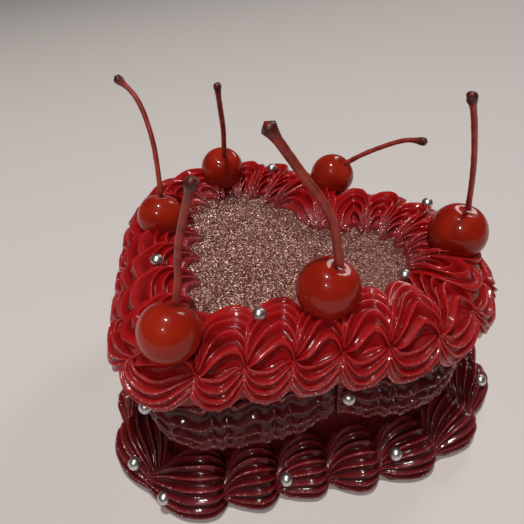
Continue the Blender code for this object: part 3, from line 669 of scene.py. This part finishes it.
def piped_swag(start, end, low):
    """One drape: long wavy folds over a flat back, thinner and higher at its joints."""
    share = np.linspace(0, 1, SWAG_ROWS + 1)[:, None]
    front = np.linspace(0, 1, SWAG_FRONT_POINTS)
    back = np.linspace(0.97, 0.03, SWAG_BACK_POINTS)
    down = np.concatenate((front, back))[None]
    behind = (np.arange(down.shape[1]) >= len(front))[None]
    sag = 1 - np.abs(2 * share - 1) ** SWAG_SAG
    bottom = SWAG_JOINT_LOW + (low - SWAG_JOINT_LOW) * sag
    distance = start + (end - start) * share
    shake = 2 * math.pi * distance / RUFFLE_LENGTH
    wave = np.sin(shake + SHAKE_UNEVEN * np.sin(SHAKE_DRIFT * shake) + SHAKE_TRAIL * down)
    z = SWAG_TOP + (bottom - SWAG_TOP) * down + HEM_SHAKE * wave * down
    round_front = np.sin(math.pi * np.clip(BULGE_FROM + BULGE_SPAN * down, 0, 1)) ** BULGE_ROUNDNESS
    thickness = SWAG_THICKNESS * (JOINT_THICKNESS + (1 - JOINT_THICKNESS) * sag)
    out = np.where(behind, SWAG_GAP, SWAG_GAP + thickness * (BULGE_LEAST + BULGE_MORE * round_front))
    points = on_wall(distance, out, z)
    away = on_wall(distance, out + MM, z) - points
    ridged = fluted(down ** FOLD_CROWDING * SWAG_FOLDS + FOLD_SHAKE * wave)
    relief = SWAG_RELIEF * (JOINT_RELIEF + (1 - JOINT_RELIEF) * sag) * (0.9 + 0.2 * wave)
    crest = (ridged - 0.35) * relief
    crest = crest + SWAG_LUMPS * wobble(points, 2.6 * MM, 31) + SWAG_GRAIN * wobble(points, 1.0 * MM, 14)
    points = raise_along(points, away, np.where(behind, 0, crest * np.clip(HEM_FADE * (1 - down), 0, 1)))
    swag, row, column = bend_ball("swag", points)
    turn_outward(swag)
    # Pearl powder, thicker on the fold crests as partly painted highlight.
    dust_sheen_dryness = (0.02 + 0.26 * ridged ** 4) * (1 + wobble(points, 8 * MM, 2))
    set_dust_sheen_dryness(swag, np.clip(dust_sheen_dryness, 0, 1)[row, column])
    # Lighter on the fold crests and towards the hem, darker in the flutes and high under the border:
    # painted highlight and painted shade.
    set_ridge_shading(swag, (0.5 * ridged - 0.2 + 0.5 * down ** 3)[row, column])
    return swag


# A still darker copy of the cream for the swags: painted shade under the border's overhang.
dark_cream = cream("dark_cream", deep_tone_and_flute_shade=(0.026, 0.001, 0.002), bright_tone_and_crest_highlight=(0.16, 0.004, 0.007),
                   pearl=(0.36, 0.10, 0.10), flakes_from=1.02, per_metre=4200, coat=0.5, roughness=0.36)
for name, start, end, low in SWAG_JOINTS:
    swag = piped_swag(start * MM + SWAG_GAP, end * MM - SWAG_GAP, low * MM)
    swag.name = "ruffle_" + name
    seat_piece(swag, dark_cream, "dark_cream", "swag_" + name)

# The foot border: a row of fat piped buttercream shells that stands on the table round the cake.
# Each one's tail is laid on the head of the one before, and the tails point to the heart's tip.
SHELLS_PER_HALF = 11
SHELL_OUT = 5 * MM
SHELL_Z = 4 * MM
SHELL_RADIUS = 9 * MM
SHELL_RIDGES = 11
SHELL_ROWS = 44
SHELL_RELIEF = 1.4 * MM
TAIL_LAID = 7 * MM
TAIL_REACH = 1.6
TAIL_RISE = 0.6
SHELL_NARROWING = 1.5 * MM
SHELL_LUMPS = 0.3 * MM
SHELL_BACKSET = 0.7 * MM
GIRTH_SLIP = (0.95, 1.04)
RIDGES_FROM_DEGREES = -50
RIDGES_TO_DEGREES = 155
PLAIN_FROM_DEGREES = 170
PLAIN_TO_DEGREES = 295
PLAIN_POINTS = 7
FOOT_DUST = 0.03
FLOOR_CLEARANCE = 0.05 * MM
# How far along the shell, then how wide it is there.
SHELL_GIRTHS = ((-0.08, 0.05), (-0.02, 0.20), (0.10, 0.46), (0.28, 0.78), (0.52, 0.98), (0.74, 1.0),
                (0.93, 0.84), (1.05, 0.52), (1.10, 0.08))
CLEFT_SHELL = np.array((0.3, 49.5, 3.4)) * MM


def piped_shell(begin, pitch, way):
    """One shell from its drawn-out tail to its round head, with ridges from end to end."""
    line = smooth_line(SHELL_GIRTHS, np.linspace(0, len(SHELL_GIRTHS) - 1, SHELL_ROWS + 1))
    share, girth = line[:, :1], line[:, 1:] * hand.uniform(*GIRTH_SLIP)
    top_points = SHELL_RIDGES * POINTS_PER_RIDGE
    turn = np.concatenate((np.linspace(RIDGES_FROM_DEGREES, RIDGES_TO_DEGREES, top_points + 1),
                           np.linspace(PLAIN_FROM_DEGREES, PLAIN_TO_DEGREES, PLAIN_POINTS)))
    top = (np.arange(len(turn)) <= top_points)[None]
    angle = np.radians(turn)[None]
    radius = SHELL_RADIUS * girth
    laid = TAIL_LAID * np.clip(1 - girth, 0, 1) * np.clip(1 - TAIL_REACH * share, 0, 1)
    middle_out = SHELL_OUT - SHELL_NARROWING * (1 - girth) + laid
    middle_z = SHELL_Z * girth + TAIL_RISE * laid
    points = on_wall(way * (begin + pitch * share), middle_out + radius * np.cos(angle),
                     middle_z + radius * np.sin(angle))
    away = on_wall(way * (begin + pitch * share), middle_out + (radius + MM) * np.cos(angle),
                   middle_z + (radius + MM) * np.sin(angle)) - points
    ridged = np.broadcast_to(fluted(np.arange(len(turn)) / POINTS_PER_RIDGE), points.shape[:2])
    crest = (ridged - 0.5) * SHELL_RELIEF * np.clip(girth, 0.1, 1)
    crest = crest + SHELL_LUMPS * wobble(points, 5 * MM, 17)
    points = raise_along(points, away, np.where(top, crest, 0))
    points[..., 2] = np.maximum(points[..., 2], FLOOR_CLEARANCE)
    shell, row, column = bend_ball("shell", points)
    turn_outward(shell)
    # Pearl powder, thicker on the crests as partly painted highlight.
    dust_sheen_dryness = (0.01 + 0.26 * ridged ** 4) * (1 + wobble(points, 6 * MM, 5))
    set_dust_sheen_dryness(shell, np.clip(dust_sheen_dryness, 0, 1)[row, column])
    # Darker in the flutes, lighter on the crests: painted shade and painted highlight.
    set_ridge_shading(shell, ridged[row, column] - 0.25)
    return shell


pitch = HALF_LENGTH / SHELLS_PER_HALF
for side, way in (("right", 1), ("left", -1)):
    shells = [piped_shell(i * pitch - SHELL_BACKSET, pitch, way) for i in range(SHELLS_PER_HALF)]
    seat_piece(join_pieces("foot_shells_" + side, shells), shaded_crimson_cream, "crimson_cream", "foot_border")

FOOT_SECTION = np.array(((0.4, 0.05), (3, 0.05), (7, 0.05), (7.6, 2), (7, 4.4), (5, 6.4), (3, 7.2),
                         (0.4, 7.2))) * MM
foot_points = on_wall(band_distance, FOOT_SECTION[None, :, 0], FOOT_SECTION[None, :, 1])
foot_band, row, column = bend_ring("foot_band", foot_points)
turn_outward(foot_band)
set_dust_sheen_dryness(foot_band, np.full(len(foot_band.data.vertices), FOOT_DUST))
seat_piece(foot_band, shaded_crimson_cream, "crimson_cream", "foot_border")


def unit_sphere(rows, columns):
    """Directions from pole to pole in a grid, with each one's angle from the pole and round it."""
    lat = np.linspace(0, math.pi, rows + 1)
    lon = np.linspace(0, 2 * math.pi, columns, endpoint=False)
    lat, lon = np.meshgrid(lat, lon, indexing="ij")
    return np.stack((np.sin(lat) * np.cos(lon), np.sin(lat) * np.sin(lon), np.cos(lat)), axis=-1), lat, lon


MOUND_RIDGES = 12
MOUND_RELIEF = 0.09
MOUND_ROWS = 24
MOUND_COLUMNS = 96
MOUND_DUST = 0.04
mound, mound_lat, mound_lon = unit_sphere(MOUND_ROWS, MOUND_COLUMNS)
mound_ridges = fluted(MOUND_RIDGES * mound_lon / (2 * math.pi)) * np.sin(mound_lat)
mound = mound * (SHELL_RADIUS * (1 + MOUND_RELIEF * mound_ridges))[..., None] + CLEFT_SHELL
mound[..., 2] = np.maximum(mound[..., 2], FLOOR_CLEARANCE)
cleft_shell, row, column = bend_ball("cleft_shell", mound)
turn_outward(cleft_shell)
set_dust_sheen_dryness(cleft_shell, np.full(len(cleft_shell.data.vertices), MOUND_DUST))
seat_piece(cleft_shell, shaded_crimson_cream, "crimson_cream", "foot_border")

# The sugar balls: hard round dragees, 3.8 mm across, coated with silver and pressed into the cream.
# Six lie on the top border, eight under it at the swags' joints and twelve on the foot border.
DRAGEE_RADIUS = 1.9 * MM
DRAGEE_LUMPS = 0.03
# On top: how far round, across and off the band. At the foot: how far round, out and up. All in mm.
TOP_DRAGEES = ((28.1, 8.8, 5.4), (78.9, 17.3, 2.5), (127.3, 4.1, 6.9), (-132, 8.7, 6.4), (-86.5, 13, 7.5),
               (-28.7, 8.8, 7.4))
FOOT_DRAGEES = ((3.5, 12.5, 5.6), (31.1, 10.7, 7.9), (62, 9.9, 10.1), (94, 11, 10.3), (123, 12.1, 9),
                (150, 12.2, 9.5), (-3.3, 11, 8.8), (-32, 11.2, 8.6), (-63, 11.7, 8.8), (-94, 12.2, 10.1),
                (-124, 12.2, 9), (-151, 13.1, 9.9))
SWAG_DRAGEE = (2.2, 4.6, 30.5)
spots = [on_bed(distance * MM, across * MM, lift * MM) for distance, across, lift in TOP_DRAGEES]
spots += [on_wall(distance * MM, out * MM, z * MM) for distance, out, z in FOOT_DRAGEES]
spots += [on_wall(start * MM + SWAG_GAP + SWAG_DRAGEE[0] * MM, SWAG_DRAGEE[1] * MM, SWAG_DRAGEE[2] * MM)
          for name, start, end, low in SWAG_JOINTS]
BALL_ROWS = 14
BALL_COLUMNS = 24
unit_ball, _, _ = unit_sphere(BALL_ROWS, BALL_COLUMNS)
balls = []
for spot in spots:
    lumps = 1 + DRAGEE_LUMPS * wobble(unit_ball * MM + spot, 0.9 * MM, 6)
    ball, row, column = bend_ball("dragee", unit_ball * DRAGEE_RADIUS * lumps[..., None] + spot)
    turn_outward(ball)
    balls.append(ball)


def silver_sugar():
    """Silver leaf over sugar, grey and rougher in the grains where it has rubbed."""
    material, tree, shader = new_material("silver_sugar")
    coordinate = add_node(tree, "ShaderNodeTexCoord")
    rubbed = add_node(tree, "ShaderNodeTexNoise")
    rubbed.inputs["Scale"].default_value = 1400
    shade = add_node(tree, "ShaderNodeValToRGB")
    set_ramp(shade, ((0.3, (0.42, 0.41, 0.40)), (0.6, (0.85, 0.84, 0.82))))
    rough = add_node(tree, "ShaderNodeMapRange")
    rough.inputs["To Min"].default_value = 0.46
    rough.inputs["To Max"].default_value = 0.28
    tree.links.new(coordinate.outputs["Object"], rubbed.inputs["Vector"])
    tree.links.new(rubbed.outputs["Fac"], shade.inputs["Fac"])
    tree.links.new(rubbed.outputs["Fac"], rough.inputs["Value"])
    tree.links.new(shade.outputs["Color"], shader.inputs["Base Color"])
    tree.links.new(rough.outputs["Result"], shader.inputs["Roughness"])
    shader.inputs["Metallic"].default_value = 1
    return material


sugar_balls = join_pieces("sugar_balls", balls)
sugar_balls.data.materials.append(silver_sugar())
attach(sugar_balls, "root")

# The cherries: six candied cherries with tight glossy skin, each dimpled where its stem goes in.
# They sit pressed into the top border, 15 to 17 mm across.
DIMPLE_DEPTH = 0.17
DIMPLE_DEGREES = 21
FRUIT_LUMPS = 0.02
# Each cherry's middle and radius, its stem's and knob's radius, and the stem's way from the middle, in mm.
CHERRIES = {
    "tip": ((5.6, -45.2, 56.4), 7.6, 0.85, 1.5,
            ((-0.3, 3.8, 5.6), (0.5, 5.0, 12.5), (2.0, 4.9, 20.0), (4.2, 4.9, 27.0), (10.2, 4.4, 40.5))),
    "right": ((28.4, -11.5, 56.8), 8.3, 1.1, 1.9,
              ((2.3, 1.2, 7.4), (0.4, 1.0, 16.6), (-1.9, -0.1, 23.3), (-5.3, -2.9, 30.1),
               (-11.4, -9.2, 43.9))),
    "right_lobe": ((46.3, 31.6, 56.8), 8.4, 0.75, 1.2,
                   ((1.4, 0.5, 7.9), (1.3, -3.0, 18.2), (1.1, -6.3, 26.5), (0.7, -12.4, 37.4),
                    (0.1, -17.4, 44.6))),
    "cleft": ((-3.2, 45.6, 56.2), 7.6, 0.8, 1.4,
              ((4.6, 0.6, 5.6), (9.6, 2.5, 9.0), (15.0, 5.0, 12.0), (22.4, 7.6, 15.2), (29.5, 8.7, 15.7))),
    "left_lobe": ((-40.7, 29.3, 56.2), 7.9, 0.9, 1.2,
                  ((3.0, -1.6, 6.8), (5.8, -4.1, 17.5), (8.1, -7.3, 27.0), (10.5, -10.5, 35.5))),
    "left": ((-34.9, -8.3, 56.0), 7.4, 0.8, 1.5,
             ((-0.4, 1.9, 6.9), (-3.2, 4.8, 15.5), (-7.0, 7.6, 24.3), (-12.6, 9.2, 33.4),
              (-19.6, 8.2, 39.3))),
}


def cherry_skin():
    """Clear glossy red skin over flesh that lets light through, with darker and paler patches."""
    material, tree, shader = new_material("cherry_skin")
    coordinate = add_node(tree, "ShaderNodeTexCoord")
    patches = add_node(tree, "ShaderNodeTexNoise")
    patches.inputs["Scale"].default_value = 110
    patches.inputs["Detail"].default_value = 2
    shade = add_node(tree, "ShaderNodeValToRGB")
    set_ramp(shade, ((0.3, (0.30, 0.010, 0.004)), (0.7, (0.46, 0.026, 0.008))))
    dents = add_node(tree, "ShaderNodeTexNoise")
    dents.inputs["Scale"].default_value = 420
    bump = add_node(tree, "ShaderNodeBump")
    bump.inputs["Strength"].default_value = 0.25
    bump.inputs["Distance"].default_value = 0.15 * MM
    tree.links.new(coordinate.outputs["Object"], patches.inputs["Vector"])
    tree.links.new(coordinate.outputs["Object"], dents.inputs["Vector"])
    tree.links.new(patches.outputs["Fac"], shade.inputs["Fac"])
    tree.links.new(shade.outputs["Color"], shader.inputs["Base Color"])
    tree.links.new(dents.outputs["Fac"], bump.inputs["Height"])
    tree.links.new(bump.outputs["Normal"], shader.inputs["Normal"])
    shader.inputs["Roughness"].default_value = 0.3
    shader.inputs["Subsurface Weight"].default_value = 0.35
    shader.inputs["Subsurface Radius"].default_value = (1.0, 0.12, 0.05)
    shader.inputs["Subsurface Scale"].default_value = 3 * MM
    shader.inputs["Specular IOR Level"].default_value = 0.1
    shader.inputs["Coat Weight"].default_value = 0.45
    shader.inputs["Coat Roughness"].default_value = 0.05
    return material


cherry_red = cherry_skin()
FRUIT_ROWS = 36
FRUIT_COLUMNS = 48
unit_fruit, fruit_lat, _ = unit_sphere(FRUIT_ROWS, FRUIT_COLUMNS)
dimple = 1 - DIMPLE_DEPTH * np.exp(-(np.degrees(fruit_lat) / DIMPLE_DEGREES) ** 2)
for name, (centre, radius, _, _, route) in CHERRIES.items():
    centre = np.array(centre) * MM
    radius = radius * MM
    axis = Vector(route[0]).normalized()
    turned = np.array(Vector((0, 0, 1)).rotation_difference(axis).to_matrix())
    ball = unit_fruit * (radius * dimple)[..., None]
    lumps = 1 + FRUIT_LUMPS * wobble(ball + centre, 7 * MM, 9)
    fruit, row, column = bend_ball("fruit_" + name, (ball * lumps[..., None]) @ turned.T + centre)
    turn_outward(fruit)
    seat_piece(fruit, cherry_red, "cherry_skin", "cherry_" + name)

# The stems: thin bent stalks, 1.5 to 2.2 mm thick, dyed dark red like the fruit.
# Each stands in its cherry's dimple and ends in the rough knob where it was picked.
DIMPLE_FLOOR = 0.8
STEM_CLEARANCE = 0.6 * MM
STEM_STATIONS = 40
STEM_COLUMNS = 16
STEM_SIDE = (0.3, 0.9, 0.1)
KNOB_LENGTH = 1.9 * MM
KNOB_FROM_END = 1.6 * MM
KNOB_END = 0.5
FOOT_FLARE = 0.25
FLARE_LENGTH = 2 * MM
STEM_DRYNESS = 0.15
STEM_ROUGH = 0.10
KNOB_ROUGH = 0.30


def stem_skin():
    """Dyed stalk: brown red with streaks and darker, drier patches towards the knob."""
    material, tree, shader = new_material("cherry_stem")
    coordinate = add_node(tree, "ShaderNodeTexCoord")
    streaks = add_node(tree, "ShaderNodeTexNoise")
    streaks.inputs["Scale"].default_value = 300
    streaks.inputs["Detail"].default_value = 5
    shade = add_node(tree, "ShaderNodeValToRGB")
    set_ramp(shade, ((0.3, (0.22, 0.016, 0.009)), (0.65, (0.55, 0.055, 0.030))))
    dry = add_node(tree, "ShaderNodeAttribute", attribute_name="dust_sheen_dryness")
    browned = add_node(tree, "ShaderNodeMix", data_type="RGBA")
    browned.inputs["B"].default_value = (0.055, 0.010, 0.006, 1)
    bump = add_node(tree, "ShaderNodeBump")
    bump.inputs["Strength"].default_value = 0.6
    bump.inputs["Distance"].default_value = 0.3 * MM
    link = tree.links.new
    link(coordinate.outputs["Object"], streaks.inputs["Vector"])
    link(streaks.outputs["Fac"], shade.inputs["Fac"])
    link(shade.outputs["Color"], browned.inputs["A"])
    link(dry.outputs["Fac"], browned.inputs["Factor"])
    link(browned.outputs["Result"], shader.inputs["Base Color"])
    link(streaks.outputs["Fac"], bump.inputs["Height"])
    link(bump.outputs["Normal"], shader.inputs["Normal"])
    shader.inputs["Roughness"].default_value = 0.42
    return material


stem_red = stem_skin()
for name, (centre, radius, stem_radius, knob_radius, route) in CHERRIES.items():
    centre = np.array(centre) * MM
    axis = np.array(route[0]) / np.linalg.norm(route[0])
    stops = centre + np.array(route) * MM
    stops[0] = centre + axis * (DIMPLE_FLOOR * radius * MM + STEM_CLEARANCE)
    line = smooth_line(stops, np.linspace(0, len(stops) - 1, STEM_STATIONS + 1))
    walked = np.concatenate(((0,), np.cumsum(np.linalg.norm(np.diff(line, axis=0), axis=1))))
    near = np.arange(STEM_STATIONS + 1)
    along = line[np.minimum(near + 1, STEM_STATIONS)] - line[np.maximum(near - 1, 0)]
    along /= np.linalg.norm(along, axis=1, keepdims=True)
    across = np.cross(along, STEM_SIDE)
    across /= np.linalg.norm(across, axis=1, keepdims=True)
    upright = np.cross(along, across)
    knob = np.exp(-((walked[-1] - walked - KNOB_FROM_END) / KNOB_LENGTH) ** 2)
    girth = stem_radius * MM * (1 + FOOT_FLARE * np.exp(-walked / FLARE_LENGTH))
    girth += (knob_radius * MM - girth) * knob
    girth[-1] *= KNOB_END
    turn = np.linspace(0, 2 * math.pi, STEM_COLUMNS, endpoint=False)[None, :, None]
    away = across[:, None] * np.cos(turn) + upright[:, None] * np.sin(turn)
    points = line[:, None] + away * girth[:, None, None]
    dry = STEM_DRYNESS + (1 - STEM_DRYNESS) * knob
    rough = (STEM_ROUGH * stem_radius + KNOB_ROUGH * dry ** 3) * MM
    points = points + away * (rough[:, None] * wobble(points, 1.1 * MM, 12))[..., None]
    stem, row, column = bend_ball("stalk_" + name, points)
    turn_outward(stem)
    set_dust_sheen_dryness(stem, dry[row])
    seat_piece(stem, stem_red, "cherry_stem", "stem_" + name)

# The floor is a plain pale sheet, with soft white studio lights over the cake and a dim grey room.
FLOOR_HALF = 3.0
FLOOR_COLOUR = (0.86, 0.80, 0.77, 1)
LAMP_COLOUR = (1.0, 0.97, 0.94)
ROOM_COLOUR = (0.92, 0.96, 1.0, 1)
ROOM_STRENGTH = 0.03
bpy.ops.object.select_all(action="DESELECT")
bpy.ops.mesh.primitive_plane_add(size=2 * FLOOR_HALF, location=(0, 0, 0))
floor = bpy.context.object
floor.name = "floor"
pale, pale_tree, pale_shader = new_material("pale_sheet")
pale_shader.inputs["Base Color"].default_value = FLOOR_COLOUR
pale_shader.inputs["Roughness"].default_value = 0.9
floor.data.materials.append(pale)

# Each light's name, the way to it, its distance and width in metres, and its power in watts.
LIGHTS = (
    ("overhead", (0.03, -0.07, 1.0), 1.4, 0.13, 8.2),
    ("front", (0.25, -0.60, 0.80), 1.4, 0.09, 4.6),
    ("back", (-0.05, 0.94, 0.60), 1.8, 0.50, 4.5),
)
for name, direction, distance, size, power in LIGHTS:
    lamp = bpy.data.lights.new(name, "AREA")
    lamp.shape = "DISK"
    lamp.size = size
    lamp.energy = power
    lamp.color = LAMP_COLOUR
    light = bpy.data.objects.new(name, lamp)
    towards = Vector(direction).normalized()
    light.location = towards * distance
    light.rotation_euler = towards.to_track_quat("Z", "Y").to_euler()
    bpy.context.scene.collection.objects.link(light)
room = bpy.data.worlds.new("room")
room.use_nodes = True
room.node_tree.nodes["Background"].inputs["Color"].default_value = ROOM_COLOUR
room.node_tree.nodes["Background"].inputs["Strength"].default_value = ROOM_STRENGTH
bpy.context.scene.world = room
bpy.context.scene.view_settings.view_transform = "Standard"
